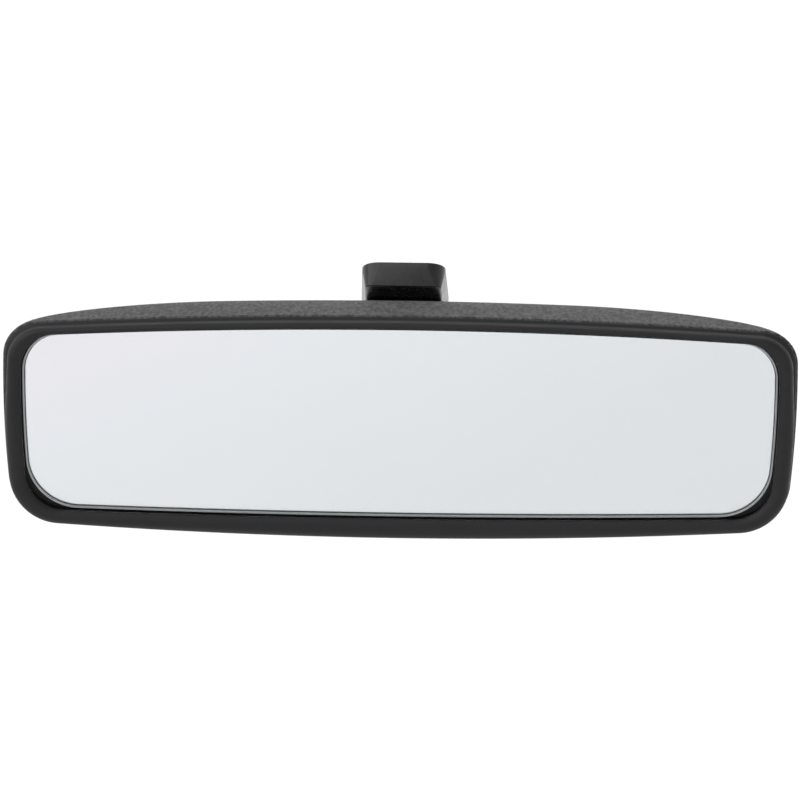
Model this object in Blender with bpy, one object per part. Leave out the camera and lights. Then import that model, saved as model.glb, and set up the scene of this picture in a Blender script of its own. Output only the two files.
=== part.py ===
"""Interior rearview mirror for a car: a glass in a bezel and a shell, on a ball joint and a windscreen foot.

Frame: +Z is up, +X is to the right as the driver sees it, and +Y points forward, to the windscreen.
The origin is on the foot's seat, which lies against the windscreen: the middle of the flat land above the slot.
The head is modelled about the ball's centre, and the foot about its seat, which leans with the windscreen.
"""

import math

import bmesh
import bpy
from mathutils import Vector

# ---------------------------------------------------------------- driving dimensions, in metres and degrees

GAP = 0.0003  # clearance between two pieces that touch

# The head's outline, seen by the driver
HALF_WIDTH = 0.105
HALF_HEIGHT = 0.0303
WIDEST_Z = 0.0096  # the height above the middle where the head is widest
TOP_RADIUS = 1.62  # of the crowned top edge
BOTTOM_RADIUS = 1.37
SIDE_RADIUS = 0.285
TOP_CORNER = 0.0092
BOTTOM_CORNER = 0.0139

# The opening in the bezel, where the glass shows
OPEN_HALF_WIDTH = 0.09975
OPEN_TOP = 0.0275
OPEN_BOTTOM = 0.0239
OPEN_TOP_RADIUS = 1.66
OPEN_BOTTOM_RADIUS = 3.4
OPEN_TOP_CORNER = 0.0094
OPEN_BOTTOM_CORNER = 0.0106

# Depths along Y, counted from the ball's centre
SEAM_Y = -0.0185  # the bezel meets the shell here
GROOVE_TOP, GROOVE_END = 0.019, -0.004  # the groove behind the bead fades out between these heights
SHELL_DEPTH = 0.03044
SHELL_WALL = 0.002
PLAN_END, PLAN_CROWN = 0.70, 0.12  # how blunt the shell is at its ends and in its middle, seen from above
HEIGHT_POWER = 6.0  # its squareness from top to bottom
DOME_STEPS = (0.0, 0.07, 0.15, 0.25, 0.36, 0.47, 0.57, 0.66, 0.73, 0.78)  # along plan_curve

# The ball joint
BALL_RADIUS = 0.0085
NECK_RADIUS = 0.004
LINER_INNER = BALL_RADIUS + GAP
LINER_OUTER = 0.010
SOCKET_INNER = LINER_OUTER + GAP
SOCKET_OUTER = 0.0120
SLEEVE_OUTER = 0.0126
STUD_SHOULDER_Y = 0.017
STUD_END_Y = 0.0228

# The foot, in its own leaning frame: y runs down the windscreen and z towards it, with the seat at z = 0
RAKE = math.radians(30)
SEAT_FROM_BALL = Vector((0.0, 0.0381, 0.0272))
FOOT_THICKNESS = 0.007
FOOT_HALF_LENGTH = 0.018
LAND_Y = -0.0154  # the middle of the seat's land, between its upper edge and the channel
SLOT_FLOOR = -0.0042
CHANNEL_BOTTOM = -0.0052
POCKET_FLOOR = CHANNEL_BOTTOM - GAP
SPRING_POCKET_FLOOR = -0.0063
SCREW_X = 0.0058

# The two mount screws hold channel, cover and arm together
SHANK_RADIUS = 0.0010
PILOT_RADIUS = SHANK_RADIUS + GAP

BRACKET_HOLES = [(sx * 0.017, sz * 0.010) for sx in (-1, 1) for sz in (1, -1)]
CLAMP_HOLES = [(-0.0165, 0.0), (0.0165, 0.0)]

ROUND_STEPS = 32
SCREW_STEPS = 14


# ---------------------------------------------------------------- scene, materials and objects


def clear_scene():
    for obj in list(bpy.data.objects):
        bpy.data.objects.remove(obj)


def make_material(name, colour, roughness, metallic=0.0):
    material = bpy.data.materials.new(name)
    material.use_nodes = True
    shader = material.node_tree.nodes["Principled BSDF"]
    shader.inputs["Base Color"].default_value = (*colour, 1.0)
    shader.inputs["Roughness"].default_value = roughness
    shader.inputs["Metallic"].default_value = metallic
    return material


def add_frame(name, location, tilt=0.0):
    """An empty that pieces are placed under, turned about X by tilt."""
    empty = bpy.data.objects.new(name, None)
    empty.location = location
    empty.rotation_euler = (tilt, 0.0, 0.0)
    bpy.context.scene.collection.objects.link(empty)
    return empty


def add_object(name, bm, parent, material=None):
    """The bmesh as an object under parent. With no material it is a helper, which isn't rendered."""
    bmesh.ops.remove_doubles(bm, verts=bm.verts, dist=1e-6)
    bmesh.ops.recalc_face_normals(bm, faces=bm.faces)
    mesh = bpy.data.meshes.new(name)
    bm.to_mesh(mesh)
    bm.free()
    obj = bpy.data.objects.new(name, mesh)
    obj.parent = parent
    bpy.context.scene.collection.objects.link(obj)
    if material:
        mesh.materials.append(material)
        mesh.shade_smooth()
        mesh.set_sharp_from_angle(angle=math.radians(32))
    else:
        obj.hide_render = True
        obj.display_type = "WIRE"
    return obj


def combine(obj, helper, operation):
    """Cuts helper from obj, or joins it on, with a live Boolean modifier."""
    modifier = obj.modifiers.new(helper.name, "BOOLEAN")
    modifier.operation = operation
    modifier.object = helper
    modifier.solver = "EXACT"


# ---------------------------------------------------------------- shapes


def skin(bm, rings, closed=False):
    """Joins rings of points, which all have the same count, and closes the ends or, if closed, joins last to first."""
    loops = [[bm.verts.new(p) for p in ring] for ring in rings]
    count = len(loops[0])
    pairs = list(zip(loops, loops[1:]))
    if closed:
        pairs.append((loops[-1], loops[0]))
    else:
        bm.faces.new(loops[0])
        bm.faces.new(loops[-1])
    for near, far in pairs:
        for i in range(count):
            j = (i + 1) % count
            bm.faces.new((near[i], near[j], far[j], far[i]))


def lofted(rings, closed=False):
    bm = bmesh.new()
    skin(bm, rings, closed)
    return bm


def add_turned(bm, profile, steps, centre=(0.0, 0.0, 0.0), axis="Y"):
    """Spins a closed profile of (radius, height) points a full turn about an axis through centre."""
    along = {"Y": Vector((0, 1, 0)), "Z": Vector((0, 0, 1))}[axis]
    centre = Vector(centre)
    points = [centre + Vector((r, 0, 0)) + along * h for r, h in profile]
    verts = [bm.verts.new(p) for p in points]
    edges = [
        bm.edges.new((a, b))
        for a, b in zip(verts, verts[1:] + verts[:1])
        if not (on_axis(a.co, centre) and on_axis(b.co, centre))
    ]
    bmesh.ops.spin(
        bm,
        geom=verts + edges,
        cent=centre,
        axis=along,
        angle=2 * math.pi,
        steps=steps,
        use_merge=True,
    )


def on_axis(point, centre):
    return abs(point.x - centre.x) < 1e-9


def turned(profile, steps=ROUND_STEPS, centre=(0.0, 0.0, 0.0), axis="Y"):
    bm = bmesh.new()
    add_turned(bm, profile, steps, centre, axis)
    return bm


def add_prism(bm, outline, low, high, axis):
    """A flat outline of 2-D points carried from low to high along an axis."""
    place = {
        "X": lambda a, b, h: (h, a, b),
        "Y": lambda a, b, h: (a, h, b),
        "Z": lambda a, b, h: (a, b, h),
    }[axis]
    skin(bm, [[place(a, b, h) for a, b in outline] for h in (low, high)])


def prism(outline, low, high, axis):
    bm = bmesh.new()
    add_prism(bm, outline, low, high, axis)
    return bm


def arc(centre, radius, start, end, steps):
    """Points on a circle from start to end, in degrees, counted from +x, both ends included."""
    angles = [math.radians(start + (end - start) * i / steps) for i in range(steps + 1)]
    return [(centre[0] + radius * math.cos(a), centre[1] + radius * math.sin(a)) for a in angles]


def rounded(corners, radius, steps=4):
    """A convex polygon with each corner rounded. Its corners run anticlockwise."""
    points = []
    for i, corner in enumerate(corners):
        here = Vector(corner)
        back = (Vector(corners[i - 1]) - here).normalized()
        ahead = (Vector(corners[(i + 1) % len(corners)]) - here).normalized()
        half = back.angle(ahead) / 2
        centre = here + (back + ahead).normalized() * radius / math.sin(half)
        first = here + back * radius / math.tan(half) - centre
        turn = math.pi - 2 * half
        for k in range(steps + 1):
            a = turn * k / steps
            x = first.x * math.cos(a) - first.y * math.sin(a)
            y = first.x * math.sin(a) + first.y * math.cos(a)
            points.append((centre.x + x, centre.y + y))
    return points


def rectangle(half_x, half_y, centre=(0.0, 0.0)):
    x, y = centre
    return [
        (x - half_x, y - half_y),
        (x + half_x, y - half_y),
        (x + half_x, y + half_y),
        (x - half_x, y + half_y),
    ]


def sphere_arc(radius, start, end, steps):
    """(radius, y) points on a sphere about the ball's centre, by angle from +Y in degrees."""
    return [(y, x) for x, y in arc((0.0, 0.0), radius, start, end, steps)]


# ---------------------------------------------------------------- the head's outlines


def fillet_centre(edge_centre, edge_radius, side_centre, side_radius):
    """Where two circles cross, on the right: the centre of a corner arc tangent to an edge arc and a side arc."""
    between = side_centre - edge_centre
    distance = between.length
    along = (edge_radius**2 - side_radius**2 + distance**2) / (2 * distance)
    across = math.sqrt(edge_radius**2 - along**2)
    unit = between / distance
    crossings = [
        edge_centre + unit * along + Vector((-unit.y, unit.x)) * side for side in (across, -across)
    ]
    return max(crossings, key=lambda p: p.x)


def outline(half_width, top, bottom, top_radius, bottom_radius, top_corner, bottom_corner):
    """The head's closed outline in (x, z), made of eight tangent arcs, from the middle of its top, clockwise."""
    side_centre = Vector((half_width - SIDE_RADIUS, WIDEST_Z))
    top_centre = Vector((0.0, top - top_radius))
    bottom_centre = Vector((0.0, bottom_radius - bottom))
    upper = fillet_centre(
        top_centre, top_radius - top_corner, side_centre, SIDE_RADIUS - top_corner
    )
    lower = fillet_centre(
        bottom_centre, bottom_radius - bottom_corner, side_centre, SIDE_RADIUS - bottom_corner
    )

    def heading(centre, towards):
        return math.degrees(math.atan2(towards.y - centre.y, towards.x - centre.x))

    top_end = heading(top_centre, upper)
    side_start, side_end = heading(side_centre, upper), heading(side_centre, lower)
    bottom_end = heading(bottom_centre, lower)
    right = [
        *arc(top_centre, top_radius, 90, top_end, 6),
        *arc(upper, top_corner, top_end, side_start, 8)[1:],
        *arc(side_centre, SIDE_RADIUS, side_start, side_end, 3)[1:],
        *arc(lower, bottom_corner, side_end, bottom_end, 8)[1:],
        *arc(bottom_centre, bottom_radius, bottom_end, -90, 6)[1:],
    ]
    left = [(-x, z) for x, z in right[-2:0:-1]]
    return right + left


RIM = outline(
    HALF_WIDTH,
    HALF_HEIGHT,
    HALF_HEIGHT,
    TOP_RADIUS,
    BOTTOM_RADIUS,
    TOP_CORNER,
    BOTTOM_CORNER,
)
OPENING = outline(
    OPEN_HALF_WIDTH,
    OPEN_TOP,
    OPEN_BOTTOM,
    OPEN_TOP_RADIUS,
    OPEN_BOTTOM_RADIUS,
    OPEN_TOP_CORNER,
    OPEN_BOTTOM_CORNER,
)


def head_ring(share, y):
    """A ring at depth y that lies this share of the way from the rim, 0, in to the opening, 1."""
    return [
        (rx + (ox - rx) * share, y, rz + (oz - rz) * share)
        for (rx, rz), (ox, oz) in zip(RIM, OPENING)
    ]


def glass_ring(inset, y):
    """A ring at depth y that lies this far inside the glass's edge."""
    ring = outline(
        OPEN_HALF_WIDTH - GAP - inset,
        OPEN_TOP - inset,
        OPEN_BOTTOM - GAP - inset,
        OPEN_TOP_RADIUS,
        OPEN_BOTTOM_RADIUS,
        GLASS_TOP_CORNER - inset,
        GLASS_BOTTOM_CORNER - inset,
    )
    return [(x, y, z) for x, z in ring]


def plan_curve(t):
    """The shell from above, as shares of its half width and its depth, from its end, 0, towards its middle, 1."""
    u = 1 - t
    wide = u**3 + 3 * u * u * t + 3 * u * t * t * PLAN_CROWN
    step = 3 * u * u * t * PLAN_END + 3 * u * t * t + t**3
    return wide, step


def dome_ring(inset, depth, t):
    """A ring of the shell at this place along plan_curve. Its corners open out on the way to the back."""
    wide, step = plan_curve(t)
    tall = (1 - step**HEIGHT_POWER) ** (1 / HEIGHT_POWER)
    half_width = (HALF_WIDTH - inset) * wide
    half_height = (HALF_HEIGHT - inset) * tall
    open_out = step**2.4
    widest = 0.9 * min(half_height, half_width)
    top_corner = (TOP_CORNER - inset) * (1 - open_out) + widest * open_out
    bottom_corner = (BOTTOM_CORNER - inset) * (1 - open_out) + widest * open_out
    ring = outline(
        half_width,
        half_height,
        half_height,
        TOP_RADIUS,
        BOTTOM_RADIUS,
        top_corner,
        bottom_corner,
    )
    y = SEAM_Y + GAP + depth * step
    return [(x, y, z) for x, z in ring]


SHELL_BACK = SEAM_Y + GAP + SHELL_DEPTH * plan_curve(DOME_STEPS[-1])[1]


# ---------------------------------------------------------------- head: bezel, glass and shell

SHELL_INNER_SHARE = 0.42
SKIRT_OUTER_SHARE = 0.50
SKIRT_INNER_SHARE = 0.72
PLATE_SHARE = 0.80
HOOK_ROOT_SHARE = 0.62
WALL_SHARE = 0.88  # the wall beside the glass, which lies behind the lip

GLASS_FRONT, GLASS_BACK = -0.0215, -0.0195
COATING_FRONT, COATING_BACK = -0.0192, -0.0190
TAPE_FRONT, TAPE_BACK = -0.0187, -0.0182
LEDGE = -0.0182
PLATE_FRONT, PLATE_BACK = -0.0179, -0.0168
SKIRT_END = -0.0150
GLASS_CHAMFER = 0.00035
SILVER_INSET = 0.00065
GLASS_TOP_CORNER = 0.0100
GLASS_BOTTOM_CORNER = 0.0140


def make_shell(frame, material):
    """The moulded rear housing: a domed bowl with screw bosses and ribs inside and a round hole for the neck."""
    outer = [dome_ring(0.0, SHELL_DEPTH, t) for t in DOME_STEPS]
    inner_depth = SHELL_DEPTH - SHELL_WALL
    inner = [head_ring(SHELL_INNER_SHARE, y) for y in (SEAM_Y + GAP, SKIRT_END + GAP)]
    inner += [dome_ring(SHELL_WALL, inner_depth, t) for t in DOME_STEPS[2:]]
    shell = add_object("rear_housing", lofted(inner[::-1] + outer), frame, material)

    in_the_wall = SHELL_BACK - SHELL_WALL / 2
    boss = [
        (0.0, 0.003),
        (PILOT_RADIUS, 0.003),
        (PILOT_RADIUS, FLANGE_BACK + GAP),
        (0.0032, FLANGE_BACK + GAP),
        (0.0034, in_the_wall),
        (0.0, in_the_wall),
    ]
    bosses = bmesh.new()
    for x, z in BRACKET_HOLES:
        add_turned(bosses, boss, SCREW_STEPS, (x, 0.0, z))
    combine(shell, add_object("shell_bosses", bosses, frame), "UNION")

    ribs = bmesh.new()
    for x, front, back in ((0.045, -0.002, 0.0058), (0.075, -0.006, -0.0003)):
        for side in (-x, x):
            add_prism(ribs, rectangle(0.0006, 0.020, (side, 0.0)), front, back, "Y")
    combine(shell, add_object("shell_ribs", ribs, frame), "UNION")

    hole = prism(arc((0, 0), COLLAR_SLEEVE + GAP, 0, 360, ROUND_STEPS)[1:], 0.005, 0.02, "Y")
    combine(shell, add_object("shell_neck_hole", hole, frame), "DIFFERENCE")


def edge_height(x, share, side):
    """The height of head_ring's top edge, side 0, or bottom edge, side 1, at x."""
    rim, rim_radius = ((HALF_HEIGHT, TOP_RADIUS), (-HALF_HEIGHT, -BOTTOM_RADIUS))[side]
    opening, opening_radius = ((OPEN_TOP, OPEN_TOP_RADIUS), (-OPEN_BOTTOM, -OPEN_BOTTOM_RADIUS))[side]
    at_rim = rim - x * x / (2 * rim_radius)
    at_opening = opening - x * x / (2 * opening_radius)
    return at_rim + (at_opening - at_rim) * share


def bead_ring(top_share, low_share, y):
    """Like head_ring, but its share changes down the sides, from one value at the top to another below."""
    ring = []
    for (ax, _, az), (bx, _, bz) in zip(head_ring(top_share, y), head_ring(low_share, y)):
        lower = min(max((GROOVE_TOP - az) / (GROOVE_TOP - GROOVE_END), 0.0), 1.0)
        lower = lower * lower * (3 - 2 * lower)
        ring.append((ax + (bx - ax) * lower, y, az + (bz - az) * lower))
    return ring


def make_bezel(frame, material):
    """The front frame: a rounded bead round the glass, a lip in front of it, a skirt inside the shell, and hooks."""
    bead = [
        (0.10, 0.09, SEAM_Y),
        (0.14, 0.09, -0.0189),
        (0.24, 0.09, -0.0192),
        (0.30, 0.09, -0.0197),
        (0.29, 0.10, -0.0206),
        (0.29, 0.13, -0.0217),
        (0.31, 0.18, -0.0226),
        (0.36, 0.26, -0.0233),
        (0.45, 0.40, -0.0239),
        (0.60, 0.58, -0.0242),
        (0.78, 0.78, -0.0240),
        (0.93, 0.93, -0.0235),
        (1.00, 1.00, -0.0226),
        (0.98, 0.98, -0.0220),
        (WALL_SHARE, WALL_SHARE, -0.0212),
    ]
    section = [
        (WALL_SHARE, LEDGE),
        (SKIRT_INNER_SHARE, LEDGE),
        (SKIRT_INNER_SHARE, SKIRT_END),
        (SKIRT_OUTER_SHARE, SKIRT_END),
        (SKIRT_OUTER_SHARE, SEAM_Y),
    ]
    rings = [bead_ring(top, low, y) for top, low, y in bead]
    rings += [head_ring(share, y) for share, y in section]
    bezel = add_object("front_bezel", lofted(rings, closed=True), frame, material)

    hooks = bmesh.new()
    for side, inward in ((0, -1), (1, 1)):
        for x in (-0.066, 0.0, 0.066):
            root = edge_height(x, HOOK_ROOT_SHARE, side)
            plate_edge = edge_height(x, PLATE_SHARE, side)
            wedge = [
                (PLATE_BACK + GAP, root),
                (PLATE_BACK + GAP, plate_edge + inward * 0.0011),
                (SKIRT_END - 0.0002, root),
            ]
            add_prism(hooks, wedge, x - 0.005, x + 0.005, "X")
    combine(bezel, add_object("bezel_hooks", hooks, frame), "UNION")


def make_glass(frame, glass, coating, foam, plastic):
    """The glass, its coating, the foam tapes and the plate that they are stuck to."""
    rings = [
        glass_ring(GLASS_CHAMFER, GLASS_FRONT),
        glass_ring(0.0, GLASS_FRONT + GLASS_CHAMFER),
        glass_ring(0.0, GLASS_BACK - GLASS_CHAMFER),
        glass_ring(GLASS_CHAMFER, GLASS_BACK),
    ]
    add_object("mirror_glass", lofted(rings), frame, glass)

    rings = [glass_ring(SILVER_INSET, y) for y in (COATING_FRONT, COATING_BACK)]
    add_object("mirror_coating", lofted(rings), frame, coating)

    for name, x in (("foam_tape_left", -0.058), ("foam_tape_right", 0.058)):
        strip = rounded(rectangle(0.030, 0.014, (x, 0.001)), 0.003, 3)
        add_object(name, prism(strip, TAPE_FRONT, TAPE_BACK, "Y"), frame, foam)

    rings = [head_ring(PLATE_SHARE, y) for y in (PLATE_FRONT, PLATE_BACK)]
    plate = add_object("backing_plate", lofted(rings), frame, plastic)
    window = prism(
        rounded(rectangle(0.025, 0.011), 0.003, 3), PLATE_FRONT - 0.001, PLATE_BACK + 0.001, "Y"
    )
    combine(plate, add_object("plate_window", window, frame), "DIFFERENCE")
    ribs = bmesh.new()
    for x in (-0.056, 0.056):
        for z in (-0.012, 0.014):
            bar = rectangle(0.030, 0.0007, (x, z))
            add_prism(ribs, bar, PLATE_BACK - 0.0006, PLATE_BACK + 0.0016, "Y")
    combine(plate, add_object("plate_ribs", ribs, frame), "UNION")


# ---------------------------------------------------------------- head: the ball's socket and its clamp

FLANGE_FRONT, FLANGE_BACK = -0.0080, -0.0060
FLANGE_RADIUS = 0.0232
CAP_FRONT = -0.0110
CLAMP_BACK, CLAMP_FRONT = -0.0124, -0.0132
COLLAR_SLEEVE = 0.0123
CAP_OUTER = 0.0106


def make_socket(frame, plastic, steel):
    """The bracket that the ball sits in, and the cap, spring and plate that press the ball back into it."""
    bore = CAP_OUTER + GAP
    section = [
        *sphere_arc(SOCKET_OUTER, 82, 57, 5),
        *sphere_arc(SOCKET_INNER, 56, 92, 7),
        (bore, -0.0015),
        (bore, FLANGE_FRONT),
        (FLANGE_RADIUS, FLANGE_FRONT),
        (FLANGE_RADIUS, FLANGE_BACK),
        (SLEEVE_OUTER, FLANGE_BACK),
        (SLEEVE_OUTER, 0.0010),
    ]
    bracket = add_object("socket_bracket", turned(section), frame, plastic)
    post = [
        (PILOT_RADIUS, CLAMP_BACK + GAP),
        (0.0026, CLAMP_BACK + GAP),
        (0.0030, FLANGE_FRONT + 0.0005),
        (PILOT_RADIUS, FLANGE_FRONT + 0.0005),
    ]
    posts = bmesh.new()
    for x, z in CLAMP_HOLES:
        add_turned(posts, post, SCREW_STEPS, (x, 0.0, z))
    combine(bracket, add_object("bracket_posts", posts, frame), "UNION")
    holes = bmesh.new()
    for x, z in BRACKET_HOLES:
        ring = arc((x, z), 0.0016, 0, 360, SCREW_STEPS)[1:]
        add_prism(holes, ring, FLANGE_FRONT - 0.001, FLANGE_BACK + 0.001, "Y")
    combine(bracket, add_object("bracket_holes", holes, frame), "DIFFERENCE")

    section = [
        *sphere_arc(SOCKET_INNER, 112, 160, 7),
        (SOCKET_INNER * math.sin(math.radians(160)), CAP_FRONT),
        (CAP_OUTER - 0.0005, CAP_FRONT),
        (CAP_OUTER, CAP_FRONT + 0.0005),
        (CAP_OUTER, SOCKET_INNER * math.cos(math.radians(112))),
    ]
    add_object("pressure_cap", turned(section), frame, plastic)

    rise = 0.00045
    sheet = 0.00035
    near, far = CAP_FRONT - GAP, CAP_FRONT - GAP - rise
    cone = [(0.0046, near), (0.0092, far), (0.0092, far - sheet), (0.0046, near - sheet)]
    add_object("clamp_spring", turned(cone), frame, steel)

    strip = rounded(rectangle(0.0205, 0.0055), 0.0054, 6)
    plate = add_object("clamp_plate", prism(strip, CLAMP_FRONT, CLAMP_BACK, "Y"), frame, steel)
    holes = bmesh.new()
    for x, z, radius in [(0.0, 0.0, 0.0036)] + [(x, z, PILOT_RADIUS) for x, z in CLAMP_HOLES]:
        ring = arc((x, z), radius, 0, 360, SCREW_STEPS)[1:]
        add_prism(holes, ring, CLAMP_FRONT - 0.001, CLAMP_BACK + 0.001, "Y")
    combine(plate, add_object("clamp_plate_holes", holes, frame), "DIFFERENCE")


def make_head_screws(frame, steel):
    """Four screws hold the bracket to the shell's bosses, and two hold the clamp plate to the bracket's posts."""
    for kind, holes, seat, tip in (
        ("bracket_screw", BRACKET_HOLES, FLANGE_FRONT, 0.0015),
        ("clamp_screw", CLAMP_HOLES, CLAMP_FRONT, FLANGE_FRONT - 0.0005),
    ):
        section = [
            (0.0, seat - GAP - 0.0011),
            (0.0018, seat - GAP - 0.0011),
            (0.0025, seat - GAP - 0.0006),
            (0.0025, seat - GAP),
            (SHANK_RADIUS, seat - GAP),
            (SHANK_RADIUS, tip - 0.0008),
            (0.0, tip),
        ]
        for number, (x, z) in enumerate(holes, 1):
            screw = turned(section, SCREW_STEPS, (x, 0.0, z))
            add_object(f"{kind}_{number}", screw, frame, steel)


def make_collar(frame, material):
    """The trim ring pressed into the shell's neck hole."""
    back = SHELL_BACK
    section = [
        (0.0112, back - 0.0030),
        (COLLAR_SLEEVE, back - 0.0030),
        (COLLAR_SLEEVE, back + GAP),
        (0.0146, back + GAP),
        (0.0144, back + 0.0009),
        (0.0134, back + 0.0014),
        (0.0121, back + 0.0014),
        (0.0113, back + 0.0006),
    ]
    add_object("neck_collar", turned(section), frame, material)


def make_liners(rear_frame, front_frame, material):
    """Two nylon friction liners between ball and socket: a belt behind the ball and a cup in front of it."""
    for name, frame, start, end in (
        ("rear_liner", rear_frame, 52, 76),
        ("front_liner", front_frame, 94, 160),
    ):
        steps = 4 if name == "rear_liner" else 8
        section = [
            *sphere_arc(LINER_INNER, start, end, steps),
            *sphere_arc(LINER_OUTER, end, start, steps),
        ]
        add_object(name, turned(section), frame, material)


# ---------------------------------------------------------------- mount: ball stud, arm and foot


def make_ball_stud(frame, metal):
    neck_angle = math.degrees(math.asin(NECK_RADIUS / BALL_RADIUS))
    section = [
        *sphere_arc(BALL_RADIUS, 180, neck_angle, 14),
        (NECK_RADIUS, 0.0135),
        (0.0052, 0.0158),
        (0.0052, STUD_SHOULDER_Y),
        (0.0030, STUD_SHOULDER_Y),
        (0.0030, STUD_END_Y),
        (0.0, STUD_END_Y),
    ]
    add_object("ball_stud", turned(section), frame, metal)


def bezier(points, t):
    a, b, c, d = points
    u = 1 - t
    return a * u**3 + b * 3 * u * u * t + c * 3 * u * t * t + d * t**3


def bezier_heading(points, t):
    a, b, c, d = points
    u = 1 - t
    return ((b - a) * u * u + (c - b) * 2 * u * t + (d - c) * t * t).normalized()


def squared_circle(power, steps):
    """A unit circle where power is 2, which gets nearer to a square as power grows."""
    points = []
    for a, b in arc((0, 0), 1.0, 0, 360, steps)[1:]:
        points.append(
            (
                math.copysign(abs(a) ** (2 / power), a),
                math.copysign(abs(b) ** (2 / power), b),
            )
        )
    return points


def make_arm(frame, material, pilot_helper):
    """The cast arm: it leaves the stud's shoulder, curves up and widens into a squarer pad under the foot."""
    normal = Vector((0.0, math.sin(RAKE), math.cos(RAKE)))
    start = Vector((0.0, STUD_SHOULDER_Y + GAP, 0.0))
    end = SEAT_FROM_BALL - normal * (FOOT_THICKNESS + GAP)
    path = [start, start + Vector((0.0, 0.0125, 0.0)), end - normal * 0.012, end]
    side = Vector((1.0, 0.0, 0.0))
    stations = [i / 10 for i in range(11)]
    rings = []
    for t in stations:
        swell = 0.5 - 0.5 * math.cos(math.pi * t)
        half_wide = 0.0058 + 0.0047 * swell**0.9
        half_high = 0.0058 + 0.0018 * swell**3
        middle = bezier(path, t)
        upward = side.cross(bezier_heading(path, t))
        ring = squared_circle(2.0 + 6.0 * swell, 28)
        rings.append([middle + side * (half_wide * a) + upward * (half_high * b) for a, b in ring])
    arm = add_object("arm", lofted(rings), frame, material)
    bore = prism(arc((0, 0), 0.0033, 0, 360, 20)[1:], start.y - 0.001, STUD_END_Y + GAP, "Y")
    combine(arm, add_object("arm_bore", bore, frame), "DIFFERENCE")
    combine(arm, pilot_helper, "DIFFERENCE")


def foot_ring(upper_half, lower_half, upper_y, lower_y, corner, z):
    """A tapering outline across the foot at height z, with its corners rounded to this radius."""
    corners = [
        (-upper_half, upper_y),
        (upper_half, upper_y),
        (lower_half, lower_y),
        (-lower_half, lower_y),
    ]
    return [(x, y, z) for x, y in rounded(corners, corner, 6)]


def make_foot_cover(frame, material, screw_holes):
    """The moulded foot: a tapering block, flat to the windscreen, with a pocket for the channel."""
    ends = FOOT_HALF_LENGTH
    rings = [
        foot_ring(0.0097, 0.0105, -ends + 0.0007, ends - 0.0021, 0.0014, -FOOT_THICKNESS),
        foot_ring(0.0104, 0.0112, -ends, ends - 0.0014, 0.0020, -FOOT_THICKNESS + 0.0007),
        foot_ring(0.0113, 0.0123, -ends, ends - 0.0002, 0.0050, -0.0016),
        foot_ring(0.0113, 0.0124, -ends, ends, 0.0050, -0.0004),
        foot_ring(0.0109, 0.0120, -ends + 0.0004, ends - 0.0004, 0.0046, 0.0),
    ]
    cover = add_object("foot_cover", lofted(rings), frame, material)
    pocket = [
        channel_ring([(1, 0.001), (1, POCKET_FLOOR), (-1, POCKET_FLOOR), (-1, 0.001)], y, GAP)
        for y in (CHANNEL_UPPER_Y - GAP, CHANNEL_LOWER_Y + 0.004)
    ]
    combine(cover, add_object("cover_pocket", lofted(pocket), frame), "DIFFERENCE")
    recess = prism(
        rectangle(0.0031, 0.00925, (0.0, -0.00325)), SPRING_POCKET_FLOOR, POCKET_FLOOR + 0.001, "Z"
    )
    combine(cover, add_object("cover_spring_recess", recess, frame), "DIFFERENCE")
    combine(cover, screw_holes, "DIFFERENCE")


CHANNEL_UPPER_Y, CHANNEL_LOWER_Y = -0.0130, 0.0160
CHANNEL_UPPER_HALF, CHANNEL_LOWER_HALF = 0.0094, 0.0102


def channel_half(y):
    """Half the channel's outer width at y: it tapers, like the button that it slides over."""
    share = (y - CHANNEL_UPPER_Y) / (CHANNEL_LOWER_Y - CHANNEL_UPPER_Y)
    return CHANNEL_UPPER_HALF + (CHANNEL_LOWER_HALF - CHANNEL_UPPER_HALF) * share


def channel_ring(section, y, grow=0.0):
    """A section of the channel at y, from (side, z) pairs, where side 1 is its full half width."""
    half = channel_half(y) + grow
    return [(side * half, y, z) for side, z in section]


def make_channel(frame, steel, screw_holes):
    """The steel channel that slides down over the windscreen button: a dovetail slot, open at its lower end."""
    lip, wall = 0.0032, 0.0012
    rings = []
    for y in (CHANNEL_UPPER_Y, CHANNEL_LOWER_Y):
        half = channel_half(y)
        right = [(half - wall, SLOT_FLOOR), (half - lip, -GAP), (half, -GAP), (half, CHANNEL_BOTTOM)]
        left = [(-x, z) for x, z in right[::-1]]
        rings.append([(x, y, z) for x, z in right + left])
    channel = add_object("button_channel", lofted(rings), frame, steel)
    window = prism(rectangle(0.0030, 0.0068, (0.0, -0.0054)), CHANNEL_BOTTOM - 0.001, -0.001, "Z")
    combine(channel, add_object("channel_window", window, frame), "DIFFERENCE")
    combine(channel, screw_holes, "DIFFERENCE")


def make_mount_screws(frame, steel):
    """Two countersunk screws, and the helpers that cut their holes in the channel, the cover and the arm."""
    head_top = SLOT_FLOOR - 0.0001
    tip = -0.0128
    section = [
        (0.0, head_top),
        (0.0021, head_top),
        (SHANK_RADIUS, head_top - 0.0011),
        (SHANK_RADIUS, tip + 0.0008),
        (0.0, tip),
    ]
    for name, x in (("mount_screw_left", -SCREW_X), ("mount_screw_right", SCREW_X)):
        add_object(name, turned(section, SCREW_STEPS, (x, 0.0, 0.0), "Z"), frame, steel)
    hole = [
        (0.0, SLOT_FLOOR + 0.0005),
        (0.0024, SLOT_FLOOR + 0.0005),
        (0.0024, SLOT_FLOOR),
        (PILOT_RADIUS, head_top - 0.0013),
        (PILOT_RADIUS, tip - GAP),
        (0.0, tip - GAP),
    ]
    holes = bmesh.new()
    for x in (-SCREW_X, SCREW_X):
        add_turned(holes, hole, SCREW_STEPS, (x, 0.0, 0.0), "Z")
    return add_object("mount_screw_holes", holes, frame)


SPRING_PIVOT = Vector((0.0, 0.0022, -0.00577))


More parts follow.
